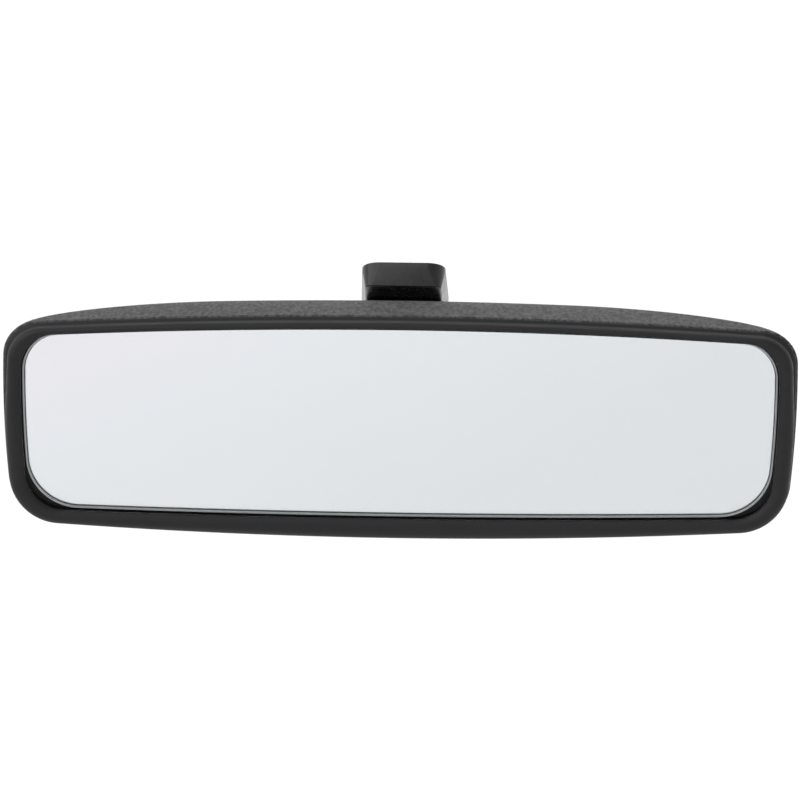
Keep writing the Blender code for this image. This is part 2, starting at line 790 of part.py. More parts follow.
def make_lock_spring(frame, steel):
    """The leaf that snaps into the button: its root lies under the channel, and its bump stands up in the slot."""
    leaf = 0.00045
    root_top = CHANNEL_BOTTOM - 0.00035
    top = [
        (0.0050, root_top),
        (0.0008, root_top),
        (-0.0060, SLOT_FLOOR - 0.0004),
        (-0.0074, SLOT_FLOOR + 0.0008),
        (-0.0084, SLOT_FLOOR + 0.0008),
        (-0.0112, SLOT_FLOOR - 0.0003),
    ]
    under = [(y, z - leaf) for y, z in top[::-1]]
    side_view = [(y - SPRING_PIVOT.y, z - SPRING_PIVOT.z) for y, z in top + under]
    add_object("lock_spring", prism(side_view, -0.0025, 0.0025, "X"), frame, steel)


# ---------------------------------------------------------------- the whole mirror


def build():
    clear_scene()
    black = make_material("textured_plastic", (0.028, 0.028, 0.029), 0.62)
    bead = make_material("bezel_plastic", (0.020, 0.020, 0.022), 0.5)
    satin = make_material("foot_plastic", (0.016, 0.016, 0.017), 0.28)
    glass = make_material("clear_glass", (0.86, 0.89, 0.90), 0.03)
    silver = make_material("silvering", (0.88, 0.90, 0.91), 0.03, 1.0)
    foam = make_material("foam_tape", (0.75, 0.74, 0.70), 0.9)
    inner = make_material("inner_plastic", (0.05, 0.05, 0.052), 0.55)
    nylon = make_material("nylon", (0.78, 0.76, 0.70), 0.45)
    zinc = make_material("coated_zinc", (0.045, 0.045, 0.048), 0.4, 0.6)
    steel = make_material("zinc_plated_steel", (0.62, 0.62, 0.60), 0.32, 1.0)

    down_the_screen = Vector((0.0, math.cos(RAKE), -math.sin(RAKE)))
    seat_middle = down_the_screen * -LAND_Y
    ball_centre = seat_middle - SEAT_FROM_BALL
    mount = add_frame("mount_ball", ball_centre)
    pan = add_frame("pan_pivot", ball_centre)
    tilt = add_frame("tilt_pivot", ball_centre)
    head = add_frame("head_pivot", ball_centre)
    foot = add_frame("foot_frame", seat_middle, -RAKE)
    spring = add_frame("spring_pivot", SPRING_PIVOT)
    spring.parent = foot

    make_shell(head, black)
    make_bezel(head, bead)
    make_glass(head, glass, silver, foam, inner)
    make_socket(head, inner, steel)
    make_head_screws(head, steel)
    make_collar(head, bead)
    make_liners(pan, tilt, nylon)

    make_ball_stud(mount, zinc)
    screw_holes = make_mount_screws(foot, steel)
    make_arm(mount, satin, screw_holes)
    make_foot_cover(foot, satin, screw_holes)
    make_channel(foot, steel, screw_holes)
    make_lock_spring(spring, steel)


build()
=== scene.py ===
"""The looks of the interior rearview mirror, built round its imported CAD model.

Lengths are in metres. The head's pieces are modelled about the ball's centre, and the foot's about the middle
of its seat, and each is then placed in the row frame: +X to the right, +Y forward and +Z up.
"""

import math

import bmesh
import bpy
from mathutils import Matrix, Quaternion, Vector


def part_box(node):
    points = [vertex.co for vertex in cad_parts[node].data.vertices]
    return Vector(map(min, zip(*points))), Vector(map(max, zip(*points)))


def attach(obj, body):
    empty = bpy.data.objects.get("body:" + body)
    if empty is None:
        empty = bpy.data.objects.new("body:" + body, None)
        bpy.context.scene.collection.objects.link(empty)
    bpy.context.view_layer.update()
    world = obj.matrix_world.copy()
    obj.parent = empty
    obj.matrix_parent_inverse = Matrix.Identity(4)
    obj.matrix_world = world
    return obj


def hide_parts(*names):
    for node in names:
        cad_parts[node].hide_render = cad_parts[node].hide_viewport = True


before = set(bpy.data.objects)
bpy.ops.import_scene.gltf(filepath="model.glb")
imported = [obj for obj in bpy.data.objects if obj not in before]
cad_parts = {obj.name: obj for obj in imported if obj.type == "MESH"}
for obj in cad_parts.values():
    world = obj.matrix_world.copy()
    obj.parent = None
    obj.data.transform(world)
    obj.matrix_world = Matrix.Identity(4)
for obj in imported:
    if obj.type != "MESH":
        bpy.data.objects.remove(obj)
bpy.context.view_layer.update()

# ---------------------------------------------------------------- dimensions, the same as the CAD's

GAP = 0.0003

HALF_WIDTH = 0.105
HALF_HEIGHT = 0.0303
WIDEST_Z = 0.0096
TOP_RADIUS = 1.62
BOTTOM_RADIUS = 1.37
SIDE_RADIUS = 0.285
TOP_CORNER = 0.0092
BOTTOM_CORNER = 0.0139

OPEN_HALF_WIDTH = 0.09975
OPEN_TOP = 0.0275
OPEN_BOTTOM = 0.0239
OPEN_TOP_RADIUS = 1.66
OPEN_BOTTOM_RADIUS = 3.4
OPEN_TOP_CORNER = 0.0094
OPEN_BOTTOM_CORNER = 0.0106

SEAM_Y = -0.0185
GROOVE_TOP, GROOVE_END = 0.019, -0.004  # the heights where the bezel's groove starts to fade, and ends
SHELL_DEPTH = 0.03044
SHELL_WALL = 0.002
PLAN_END, PLAN_CROWN = 0.70, 0.12
HEIGHT_POWER = 6.0
DOME_END = 0.78  # where the shell's flat back starts along plan_curve
SHELL_INNER_SHARE = 0.42
SKIRT_OUTER_SHARE = 0.50
SKIRT_INNER_SHARE = 0.72
SKIRT_END = -0.0150
LEDGE = -0.0182
RIM_RADIUS = 0.0005  # of the shell's front edge
COLLAR_SLEEVE = 0.0123

GLASS_FRONT, GLASS_BACK = -0.0215, -0.0195
COATING_FRONT, COATING_BACK = -0.0192, -0.0190
GLASS_CHAMFER = 0.00035
SILVER_INSET = 0.00065
GLASS_TOP_CORNER = 0.0100
GLASS_BOTTOM_CORNER = 0.0140
PLATE_BACK = -0.0168
PLATE_SHARE = 0.80
HOOK_ROOT_SHARE = 0.62
WALL_SHARE = 0.88

BALL_RADIUS = 0.0085
NECK_RADIUS = 0.004
LINER_OUTER = 0.010
SOCKET_INNER = LINER_OUTER + GAP
SOCKET_OUTER = 0.0120
SLEEVE_OUTER = 0.0126
CAP_OUTER = 0.0106
STUD_SHOULDER_Y = 0.017
STUD_END_Y = 0.0228
FLANGE_FRONT, FLANGE_BACK = -0.0080, -0.0060
FLANGE_RADIUS = 0.0232
CLAMP_BACK = -0.0124
SHANK_RADIUS = 0.0010
PILOT_RADIUS = SHANK_RADIUS + GAP
BRACKET_HOLES = [(sx * 0.017, sz * 0.010) for sx in (-1, 1) for sz in (1, -1)]
CLAMP_HOLES = [(-0.0165, 0.0), (0.0165, 0.0)]

RAKE = math.radians(30)
SEAT_FROM_BALL = Vector((0.0, 0.0381, 0.0272))
FOOT_THICKNESS = 0.007
FOOT_HALF_LENGTH = 0.018
SLOT_FLOOR = -0.0042
CHANNEL_BOTTOM = -0.0052
POCKET_FLOOR = CHANNEL_BOTTOM - GAP
SPRING_POCKET_FLOOR = -0.0063
CHANNEL_UPPER_Y, CHANNEL_LOWER_Y = -0.0130, 0.0160
CHANNEL_UPPER_HALF, CHANNEL_LOWER_HALF = 0.0094, 0.0102
SCREW_X = 0.0058

ROUND_STEPS = 96

ball_low, ball_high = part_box("ball_stud")
BALL = Vector((0.0, ball_low.y + BALL_RADIUS, (ball_low.z + ball_high.z) / 2))
HEAD = Matrix.Translation(BALL)
FOOT = Matrix.Translation(BALL + SEAT_FROM_BALL) @ Matrix.Rotation(-RAKE, 4, "X")

# ---------------------------------------------------------------- camera

CAMERA_DISTANCE = 1.0
CAMERA_AZIMUTH = math.radians(1.17)
CAMERA_ELEVATION = math.radians(14)
CAMERA_ROLL = math.radians(0.52)
CAMERA_LENS = 166.9
AIM_ABOVE_BALL = 0.0029
AIM_LEFT_OF_BALL = 0.0002


def make_camera():
    data = bpy.data.cameras.new("camera")
    data.sensor_width = 36.0
    data.lens = CAMERA_LENS
    data.clip_start = 0.01
    data.clip_end = 300.0
    level = math.cos(CAMERA_ELEVATION)
    back = Vector(
        (
            math.sin(CAMERA_AZIMUTH) * level,
            -math.cos(CAMERA_AZIMUTH) * level,
            math.sin(CAMERA_ELEVATION),
        )
    )
    right = Vector((math.cos(CAMERA_AZIMUTH), math.sin(CAMERA_AZIMUTH), 0.0))
    above = back.cross(right)
    aim = BALL + above * AIM_ABOVE_BALL - right * AIM_LEFT_OF_BALL
    camera = bpy.data.objects.new("camera", data)
    camera.location = aim + back * CAMERA_DISTANCE
    turn = (-back).to_track_quat("-Z", "Y") @ Quaternion((0.0, 0.0, 1.0), CAMERA_ROLL)
    camera.rotation_mode = "QUATERNION"
    camera.rotation_quaternion = turn
    bpy.context.scene.collection.objects.link(camera)
    bpy.context.scene.camera = camera


# ---------------------------------------------------------------- materials


def new_material(name, colour, roughness, metallic=0.0, specular=0.5, **sockets):
    """A principled material. Keyword names are its other sockets' names, with _ for a space."""
    material = bpy.data.materials.new(name)
    material.use_nodes = True
    shader = material.node_tree.nodes["Principled BSDF"]
    shader.inputs["Base Color"].default_value = (*colour, 1.0)
    shader.inputs["Roughness"].default_value = roughness
    shader.inputs["Metallic"].default_value = metallic
    shader.inputs["Specular IOR Level"].default_value = specular
    for key, value in sockets.items():
        shader.inputs[key.replace("_", " ")].default_value = value
    return material


def texture(material, kind, scale, stretch=(1.0, 1.0, 1.0), **settings):
    """A texture over the piece's own coordinates, in cells per metre. Returns its node."""
    tree = material.node_tree
    where = tree.nodes.new("ShaderNodeTexCoord")
    mapping = tree.nodes.new("ShaderNodeMapping")
    mapping.inputs["Scale"].default_value = stretch
    node = tree.nodes.new(kind)
    node.inputs["Scale"].default_value = scale
    for key, value in settings.items():
        if key in ("feature", "noise_dimensions"):
            setattr(node, key, value)
        else:
            node.inputs[key].default_value = value
    tree.links.new(where.outputs["Object"], mapping.inputs["Vector"])
    tree.links.new(mapping.outputs["Vector"], node.inputs["Vector"])
    return node


def mapped(material, value, low, high, start=0.3, end=0.7):
    """The value's range from start to end, as low to high."""
    tree = material.node_tree
    node = tree.nodes.new("ShaderNodeMapRange")
    node.inputs["From Min"].default_value = start
    node.inputs["From Max"].default_value = end
    node.inputs["To Min"].default_value = low
    node.inputs["To Max"].default_value = high
    tree.links.new(value, node.inputs["Value"])
    return node.outputs["Result"]


def vary_roughness(material, value, low, high, start=0.3, end=0.7):
    shader = material.node_tree.nodes["Principled BSDF"]
    material.node_tree.links.new(
        mapped(material, value, low, high, start, end), shader.inputs["Roughness"]
    )


def vary_colour(material, value, dark, light, start=0.3, end=0.7):
    """Base colour from a value between start and end. Returns its colour ramp, for more stops."""
    tree = material.node_tree
    ramp = tree.nodes.new("ShaderNodeValToRGB")
    ramp.color_ramp.elements[0].position = start
    ramp.color_ramp.elements[0].color = (*dark, 1.0)
    ramp.color_ramp.elements[1].position = end
    ramp.color_ramp.elements[1].color = (*light, 1.0)
    tree.links.new(value, ramp.inputs["Fac"])
    tree.links.new(ramp.outputs["Color"], tree.nodes["Principled BSDF"].inputs["Base Color"])
    return ramp.color_ramp


def add_bump(material, value, distance, strength=1.0):
    """Bump from a value that spans 0 to 1 over this distance, on top of the bumps added before."""
    tree = material.node_tree
    shader = tree.nodes["Principled BSDF"]
    node = tree.nodes.new("ShaderNodeBump")
    node.inputs["Distance"].default_value = distance
    node.inputs["Strength"].default_value = strength
    tree.links.new(value, node.inputs["Height"])
    if shader.inputs["Normal"].is_linked:
        tree.links.new(shader.inputs["Normal"].links[0].from_socket, node.inputs["Normal"])
    tree.links.new(node.outputs["Normal"], shader.inputs["Normal"])


def make_grained_plastic():
    """The shell's black plastic, with a moulded leather grain."""
    material = new_material("grained_plastic", (0.027, 0.027, 0.0272), 0.5, specular=0.48)
    pebbles = texture(material, "ShaderNodeTexVoronoi", 1500.0, feature="SMOOTH_F1", Smoothness=0.6)
    creases = texture(material, "ShaderNodeTexNoise", 1100.0, Detail=4.0, Roughness=0.6)
    add_bump(material, pebbles.outputs["Distance"], 0.00009, 0.8)
    add_bump(material, creases.outputs["Fac"], 0.00010, 0.7)
    vary_roughness(material, creases.outputs["Fac"], 0.38, 0.64)
    mottle = texture(
        material, "ShaderNodeTexNoise", 950.0, stretch=(1.0, 0.3, 1.0), Detail=3.0, Roughness=0.6
    )
    vary_colour(
        material, mottle.outputs["Fac"], (0.003, 0.003, 0.0031), (0.054, 0.054, 0.0542), 0.39, 0.63
    )
    return material


def make_bezel_plastic():
    """The bezel's satin black plastic: a fine spark-eroded texture, with faint rubbed streaks."""
    material = new_material("bezel_satin", (0.0075, 0.0078, 0.0088), 0.5, specular=0.26)
    fine = texture(material, "ShaderNodeTexNoise", 5200.0, Detail=3.0, Roughness=0.6)
    waves = texture(material, "ShaderNodeTexNoise", 420.0, Detail=5.0, Roughness=0.6)
    rubbed = texture(
        material, "ShaderNodeTexNoise", 190.0, stretch=(0.25, 1.0, 1.6), Detail=6.0, Roughness=0.6
    )
    add_bump(material, waves.outputs["Fac"], 0.00010, 0.5)
    add_bump(material, fine.outputs["Fac"], 0.000022, 0.6)
    vary_roughness(material, rubbed.outputs["Fac"], 0.42, 0.62)
    vary_colour(material, rubbed.outputs["Fac"], (0.0062, 0.0064, 0.0074), (0.0118, 0.0120, 0.0134))
    return material


def make_foot_plastic():
    """The foot's smoother black plastic, with faint finger marks."""
    material = new_material("foot_gloss", (0.007, 0.007, 0.0074), 0.27, specular=0.42)
    marks = texture(material, "ShaderNodeTexNoise", 260.0, Detail=7.0, Roughness=0.65)
    fine = texture(material, "ShaderNodeTexNoise", 3600.0, Detail=3.0)
    flow = texture(material, "ShaderNodeTexNoise", 320.0, stretch=(1.0, 0.5, 1.0), Detail=3.0)
    add_bump(material, flow.outputs["Fac"], 0.00006, 0.4)
    add_bump(material, fine.outputs["Fac"], 0.000012, 0.5)
    vary_roughness(material, marks.outputs["Fac"], 0.17, 0.34)
    vary_colour(material, marks.outputs["Fac"], (0.006, 0.006, 0.0064), (0.011, 0.011, 0.0114))
    return material


def make_arm_coat():
    """The arm's satin black coat."""
    material = new_material("arm_satin", (0.007, 0.007, 0.0074), 0.36, specular=0.3)
    marks = texture(material, "ShaderNodeTexNoise", 300.0, Detail=6.0, Roughness=0.6)
    fine = texture(material, "ShaderNodeTexNoise", 2200.0, Detail=3.0)
    add_bump(material, fine.outputs["Fac"], 0.000008, 0.4)
    vary_roughness(material, marks.outputs["Fac"], 0.30, 0.42)
    vary_colour(material, marks.outputs["Fac"], (0.005, 0.005, 0.0054), (0.009, 0.009, 0.0094))
    return material


def make_glass():
    """Clear float glass with a trace of haze."""
    material = new_material(
        "float_glass", (0.985, 0.995, 0.993), 0.0, Transmission_Weight=1.0, IOR=1.52
    )
    haze = texture(material, "ShaderNodeTexNoise", 60.0, Detail=5.0, Roughness=0.6)
    vary_roughness(material, haze.outputs["Fac"], 0.0, 0.012)
    return material


def make_ground_edge():
    """The glass's ground edge, which is frosted and light."""
    material = new_material(
        "ground_glass_edge", (0.80, 0.83, 0.84), 0.5, Transmission_Weight=0.35, IOR=1.52
    )
    scratches = texture(material, "ShaderNodeTexNoise", 5000.0, Detail=4.0, Roughness=0.7)
    add_bump(material, scratches.outputs["Fac"], 0.00003, 0.8)
    vary_roughness(material, scratches.outputs["Fac"], 0.35, 0.6)
    vary_colour(material, scratches.outputs["Fac"], (0.66, 0.70, 0.71), (0.86, 0.89, 0.90))
    return material


def make_silver():
    """The reflective coating behind the glass, with the faint unevenness of a sputtered film."""
    material = new_material("silver_film", (0.796, 0.813, 0.845), 0.01, metallic=1.0)
    film = texture(material, "ShaderNodeTexNoise", 9.0, Detail=2.0)
    vary_colour(material, film.outputs["Fac"], (0.789, 0.806, 0.838), (0.803, 0.820, 0.852))
    specks = texture(material, "ShaderNodeTexNoise", 240.0, Detail=4.0)
    vary_roughness(material, specks.outputs["Fac"], 0.0, 0.012)
    return material


def make_foam():
    material = new_material("foam_cells", (0.75, 0.74, 0.70), 0.9, specular=0.2)
    cells = texture(material, "ShaderNodeTexVoronoi", 3800.0)
    add_bump(material, cells.outputs["Distance"], 0.00012)
    vary_colour(material, cells.outputs["Distance"], (0.80, 0.79, 0.75), (0.60, 0.59, 0.55), 0.2, 0.8)
    return material


def make_inner_plastic():
    """Moulded black plastic inside the head, unpolished, with flow marks."""
    material = new_material("moulded_plastic", (0.030, 0.030, 0.032), 0.5, specular=0.45)
    flow = texture(material, "ShaderNodeTexNoise", 160.0, stretch=(1.0, 0.4, 1.0), Detail=4.0)
    fine = texture(material, "ShaderNodeTexNoise", 2600.0, Detail=3.0)
    add_bump(material, flow.outputs["Fac"], 0.00008, 0.5)
    add_bump(material, fine.outputs["Fac"], 0.00002, 0.6)
    vary_roughness(material, flow.outputs["Fac"], 0.42, 0.62)
    vary_colour(material, flow.outputs["Fac"], (0.024, 0.024, 0.026), (0.040, 0.040, 0.042))
    return material


def make_nylon():
    material = new_material("natural_nylon", (0.72, 0.69, 0.62), 0.42, Subsurface_Weight=0.15)
    material.node_tree.nodes["Principled BSDF"].inputs["Subsurface Radius"].default_value = (
        0.002,
        0.0015,
        0.001,
    )
    cloud = texture(material, "ShaderNodeTexNoise", 350.0, Detail=4.0)
    turned = texture(material, "ShaderNodeTexWave", 900.0, Distortion=0.4, Detail=1.0)
    add_bump(material, turned.outputs["Fac"], 0.00001, 0.5)
    vary_roughness(material, cloud.outputs["Fac"], 0.36, 0.52)
    vary_colour(material, cloud.outputs["Fac"], (0.68, 0.65, 0.57), (0.78, 0.76, 0.69))
    return material


def make_coated_zinc():
    """The ball stud: die-cast zinc with a thin black coat, worn slightly bright."""
    material = new_material("black_coated_zinc", (0.045, 0.045, 0.048), 0.36, metallic=0.6)
    cast = texture(material, "ShaderNodeTexNoise", 1500.0, Detail=5.0, Roughness=0.6)
    wear = texture(material, "ShaderNodeTexNoise", 520.0, Detail=6.0, Roughness=0.65)
    add_bump(material, cast.outputs["Fac"], 0.00004, 0.5)
    vary_roughness(material, cast.outputs["Fac"], 0.28, 0.46)
    vary_colour(material, wear.outputs["Fac"], (0.035, 0.035, 0.038), (0.12, 0.12, 0.125), 0.45, 0.8)
    return material


def make_zinc_plate():
    """Bright zinc plating on steel, with the rolled sheet's fine lines."""
    material = new_material("zinc_plate", (0.62, 0.62, 0.60), 0.3, metallic=1.0)
    lines = texture(
        material, "ShaderNodeTexNoise", 900.0, stretch=(6.0, 0.35, 1.0), Detail=4.0, Roughness=0.6
    )
    bloom = texture(material, "ShaderNodeTexVoronoi", 480.0)
    add_bump(material, lines.outputs["Fac"], 0.00002, 0.6)
    vary_roughness(material, lines.outputs["Fac"], 0.22, 0.42)
    vary_colour(material, bloom.outputs["Distance"], (0.66, 0.66, 0.63), (0.54, 0.545, 0.53), 0.1, 0.9)
    return material


# ---------------------------------------------------------------- shapes


def skin(bm, rings, closed=False):
    """Joins rings of points, all with one count. The ends are capped, or joined if it is closed."""
    loops = [[bm.verts.new(p) for p in ring] for ring in rings]
    count = len(loops[0])
    pairs = list(zip(loops, loops[1:]))
    if closed:
        pairs.append((loops[-1], loops[0]))
    else:
        bm.faces.new(loops[0])
        bm.faces.new(loops[-1])
    strips = []
    for near, far in pairs:
        strip = []
        for i in range(count):
            j = (i + 1) % count
            strip.append(bm.faces.new((near[i], near[j], far[j], far[i])))
        strips.append(strip)
    return strips


def lofted(rings, closed=False):
    bm = bmesh.new()
    skin(bm, rings, closed)
    return bm


def turned(profile, steps=ROUND_STEPS, centre=(0.0, 0.0, 0.0), axis="Y"):
    """A closed profile of (radius, height) points spun a full turn about an axis through centre."""
    bm = bmesh.new()
    add_turned(bm, profile, steps, centre, axis)
    return bm


def add_turned(bm, profile, steps, centre, axis="Y"):
    along = {"Y": Vector((0, 1, 0)), "Z": Vector((0, 0, 1))}[axis]
    across = {"Y": Vector((0, 0, 1)), "Z": Vector((0, 1, 0))}[axis]
    centre = Vector(centre)
    loops = []
    for radius, height in profile:
        middle = centre + along * height
        if radius < 1e-9:
            loops.append([bm.verts.new(middle)])
            continue
        angles = [2 * math.pi * i / steps for i in range(steps)]
        loops.append(
            [
                bm.verts.new(
                    middle + Vector((radius * math.cos(a), 0, 0)) + across * radius * math.sin(a)
                )
                for a in angles
            ]
        )
    for near, far in zip(loops, loops[1:] + loops[:1]):
        if len(near) == 1 and len(far) == 1:
            continue
        for i in range(steps):
            j = (i + 1) % steps
            corners = [near[i % len(near)], near[j % len(near)], far[j % len(far)], far[i % len(far)]]
            bm.faces.new(list(dict.fromkeys(corners)))


def add_prism(bm, outline_points, low, high, axis):
    place = {
        "X": lambda a, b, h: (h, a, b),
        "Y": lambda a, b, h: (a, h, b),
        "Z": lambda a, b, h: (a, b, h),
    }[axis]
    skin(bm, [[place(a, b, h) for a, b in outline_points] for h in (low, high)])


def prism(outline_points, low, high, axis):
    bm = bmesh.new()
    add_prism(bm, outline_points, low, high, axis)
    return bm


def arc(centre, radius, start, end, steps):
    angles = [math.radians(start + (end - start) * i / steps) for i in range(steps + 1)]
    return [(centre[0] + radius * math.cos(a), centre[1] + radius * math.sin(a)) for a in angles]


def sphere_arc(radius, start, end, steps):
    """(radius, y) points on a sphere about the ball's centre, by angle from +Y in degrees."""
    return [(y, x) for x, y in arc((0.0, 0.0), radius, start, end, steps)]


def rectangle(half_x, half_y, centre=(0.0, 0.0)):
    x, y = centre
    return [
        (x - half_x, y - half_y),
        (x + half_x, y - half_y),
        (x + half_x, y + half_y),
        (x - half_x, y + half_y),
    ]


def rounded(corners, radius, steps=12):
    """A convex polygon, anticlockwise, with each corner rounded."""
    points = []
    for i, corner in enumerate(corners):
        here = Vector(corner)
        back = (Vector(corners[i - 1]) - here).normalized()
        ahead = (Vector(corners[(i + 1) % len(corners)]) - here).normalized()
        half = back.angle(ahead) / 2
        centre = here + (back + ahead).normalized() * radius / math.sin(half)
        first = here + back * radius / math.tan(half) - centre
        turn = math.pi - 2 * half
        for k in range(steps + 1):
            a = turn * k / steps
            x = first.x * math.cos(a) - first.y * math.sin(a)
            y = first.x * math.sin(a) + first.y * math.cos(a)
            points.append((centre.x + x, centre.y + y))
    return points


def smooth_line(points, fine=4):
    """Points on a Catmull-Rom curve through the given points."""
    found = []
    for i in range(len(points) - 1):
        a = points[max(i - 1, 0)]
        b, c = points[i], points[i + 1]
        d = points[min(i + 2, len(points) - 1)]
        for k in range(fine):
            t = k / fine
            found.append(
                tuple(
                    0.5
                    * (
                        2 * q
                        + (r - p) * t
                        + (2 * p - 5 * q + 4 * r - s) * t * t
                        + (3 * q - p - 3 * r + s) * t**3
                    )
                    for p, q, r, s in zip(a, b, c, d)
                )
            )
    return found + [points[-1]]


def add_piece(name, bm, place, materials, body, node, cuts=(), bevel=0.0, sharp=34):
    """The bmesh as a shown piece that stands for a CAD node and rides on its body.

    Each cut is a bmesh that is taken out of it. A bevel of this width rounds the edges that are left.
    """
    piece = new_object(name, bm, materials)
    helpers = []
    for number, cut in enumerate(cuts):
        helper = new_object(f"{name}_cut_{number}", cut, [])
        modifier = piece.modifiers.new("cut", "BOOLEAN")
        modifier.operation = "DIFFERENCE"
        modifier.object = helper
        modifier.solver = "EXACT"
        helpers.append(helper)
    if bevel:
        modifier = piece.modifiers.new("rounded_edges", "BEVEL")
        modifier.width = bevel
        modifier.segments = 3
        modifier.limit_method = "ANGLE"
        modifier.angle_limit = math.radians(40)
        modifier.use_clamp_overlap = True
    if piece.modifiers:
        bpy.context.view_layer.update()
        evaluated = piece.evaluated_get(bpy.context.evaluated_depsgraph_get())
        mesh = bpy.data.meshes.new_from_object(evaluated)
        piece.modifiers.clear()
        piece.data = mesh
    for helper in helpers:
        bpy.data.objects.remove(helper)
    piece.data.transform(place)
    piece.data.shade_smooth()
    piece.data.set_sharp_from_angle(angle=math.radians(sharp))
    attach(piece, body)
    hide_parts(node)
    return piece


def new_object(name, bm, materials):
    bmesh.ops.remove_doubles(bm, verts=bm.verts, dist=1e-7)
    bmesh.ops.recalc_face_normals(bm, faces=bm.faces)
    mesh = bpy.data.meshes.new(name)
    bm.to_mesh(mesh)
    bm.free()
    for material in materials:
        mesh.materials.append(material)
    obj = bpy.data.objects.new(name, mesh)
    bpy.context.scene.collection.objects.link(obj)
    return obj


# ---------------------------------------------------------------- the head's outlines


def fillet_centre(edge_centre, edge_radius, side_centre, side_radius):
    """Where two circles cross, on the right: the centre of the corner between an edge and a side."""
    between = side_centre - edge_centre
    distance = between.length
    along = (edge_radius**2 - side_radius**2 + distance**2) / (2 * distance)
    across = math.sqrt(edge_radius**2 - along**2)
    unit = between / distance
    crossings = [
        edge_centre + unit * along + Vector((-unit.y, unit.x)) * side for side in (across, -across)
    ]
    return max(crossings, key=lambda p: p.x)


def outline(half_width, top, bottom, top_radius, bottom_radius, top_corner, bottom_corner):
    """The closed outline in (x, z), of eight tangent arcs, from the middle of its top, clockwise."""
    side_centre = Vector((half_width - SIDE_RADIUS, WIDEST_Z))
    top_centre = Vector((0.0, top - top_radius))
    bottom_centre = Vector((0.0, bottom_radius - bottom))
    upper = fillet_centre(
        top_centre, top_radius - top_corner, side_centre, SIDE_RADIUS - top_corner
    )
    lower = fillet_centre(
        bottom_centre, bottom_radius - bottom_corner, side_centre, SIDE_RADIUS - bottom_corner
    )

    def heading(centre, towards):
        return math.degrees(math.atan2(towards.y - centre.y, towards.x - centre.x))

    top_end = heading(top_centre, upper)
    side_start, side_end = heading(side_centre, upper), heading(side_centre, lower)
    bottom_end = heading(bottom_centre, lower)
    right = [
        *arc(top_centre, top_radius, 90, top_end, 22),
        *arc(upper, top_corner, top_end, side_start, 22)[1:],
        *arc(side_centre, SIDE_RADIUS, side_start, side_end, 10)[1:],
        *arc(lower, bottom_corner, side_end, bottom_end, 22)[1:],
        *arc(bottom_centre, bottom_radius, bottom_end, -90, 22)[1:],
    ]
    left = [(-x, z) for x, z in right[-2:0:-1]]
    return right + left


def rim_ring(inset, y):
    """The head's outer outline, this far inside it."""
    ring = outline(
        HALF_WIDTH - inset,
        HALF_HEIGHT - inset,
        HALF_HEIGHT - inset,
        TOP_RADIUS,
        BOTTOM_RADIUS,
        TOP_CORNER - inset,
        BOTTOM_CORNER - inset,
    )
    return [(x, y, z) for x, z in ring]


def glass_ring(inset, y):
    """A ring at depth y that lies this far inside the glass's edge."""
    ring = outline(
        OPEN_HALF_WIDTH - GAP - inset,
        OPEN_TOP - inset,
        OPEN_BOTTOM - GAP - inset,
        OPEN_TOP_RADIUS,
        OPEN_BOTTOM_RADIUS,
        GLASS_TOP_CORNER - inset,
        GLASS_BOTTOM_CORNER - inset,
    )
    return [(x, y, z) for x, z in ring]


def opening_ring(y):
    """The lip of the bezel round the glass."""
    ring = outline(
        OPEN_HALF_WIDTH,
        OPEN_TOP,
        OPEN_BOTTOM,
        OPEN_TOP_RADIUS,
        OPEN_BOTTOM_RADIUS,
        OPEN_TOP_CORNER,
        OPEN_BOTTOM_CORNER,
    )
    return [(x, y, z) for x, z in ring]


def head_ring(share, y):
    """A ring that lies this share of the way from the rim, 0, in to the opening, 1."""
    return [
        (rx + (ox - rx) * share, y, rz + (oz - rz) * share)
        for (rx, _, rz), (ox, _, oz) in zip(rim_ring(0.0, y), opening_ring(y))
    ]


def plan_curve(t):
    """The shell from above, as shares of its half width and depth, from its end, 0, to its middle, 1."""
    u = 1 - t
    wide = u**3 + 3 * u * u * t + 3 * u * t * t * PLAN_CROWN
    step = 3 * u * u * t * PLAN_END + 3 * u * t * t + t**3
    return wide, step


def dome_ring(inset, depth, t):
    """A ring of the shell at this place along plan_curve. Its corners open out on the way to the back."""
    wide, step = plan_curve(t)
    tall = (1 - step**HEIGHT_POWER) ** (1 / HEIGHT_POWER)
    half_width = (HALF_WIDTH - inset) * wide
    half_height = (HALF_HEIGHT - inset) * tall
    open_out = step**2.4
    widest = 0.9 * min(half_height, half_width)
    top_corner = (TOP_CORNER - inset) * (1 - open_out) + widest * open_out
    bottom_corner = (BOTTOM_CORNER - inset) * (1 - open_out) + widest * open_out
    ring = outline(
        half_width,
        half_height,
        half_height,
        TOP_RADIUS,
        BOTTOM_RADIUS,
        top_corner,
        bottom_corner,
    )
    y = SEAM_Y + GAP + depth * step
    return [(x, y, z) for x, z in ring]


SHELL_BACK = SEAM_Y + GAP + SHELL_DEPTH * plan_curve(DOME_END)[1]


def closing_rings(ring, radius, y, count):
    """Rings that run from the given one in to a circle of this radius, all at depth y."""
    circle = [Vector((x, z)).normalized() * radius for x, _, z in ring]
    return [
        [
            (x + (c.x - x) * k / count, y, z + (c.y - z) * k / count)
            for (x, _, z), c in zip(ring, circle)
        ]
        for k in range(1, count + 1)
    ]


# ---------------------------------------------------------------- head: shell, bezel and glass


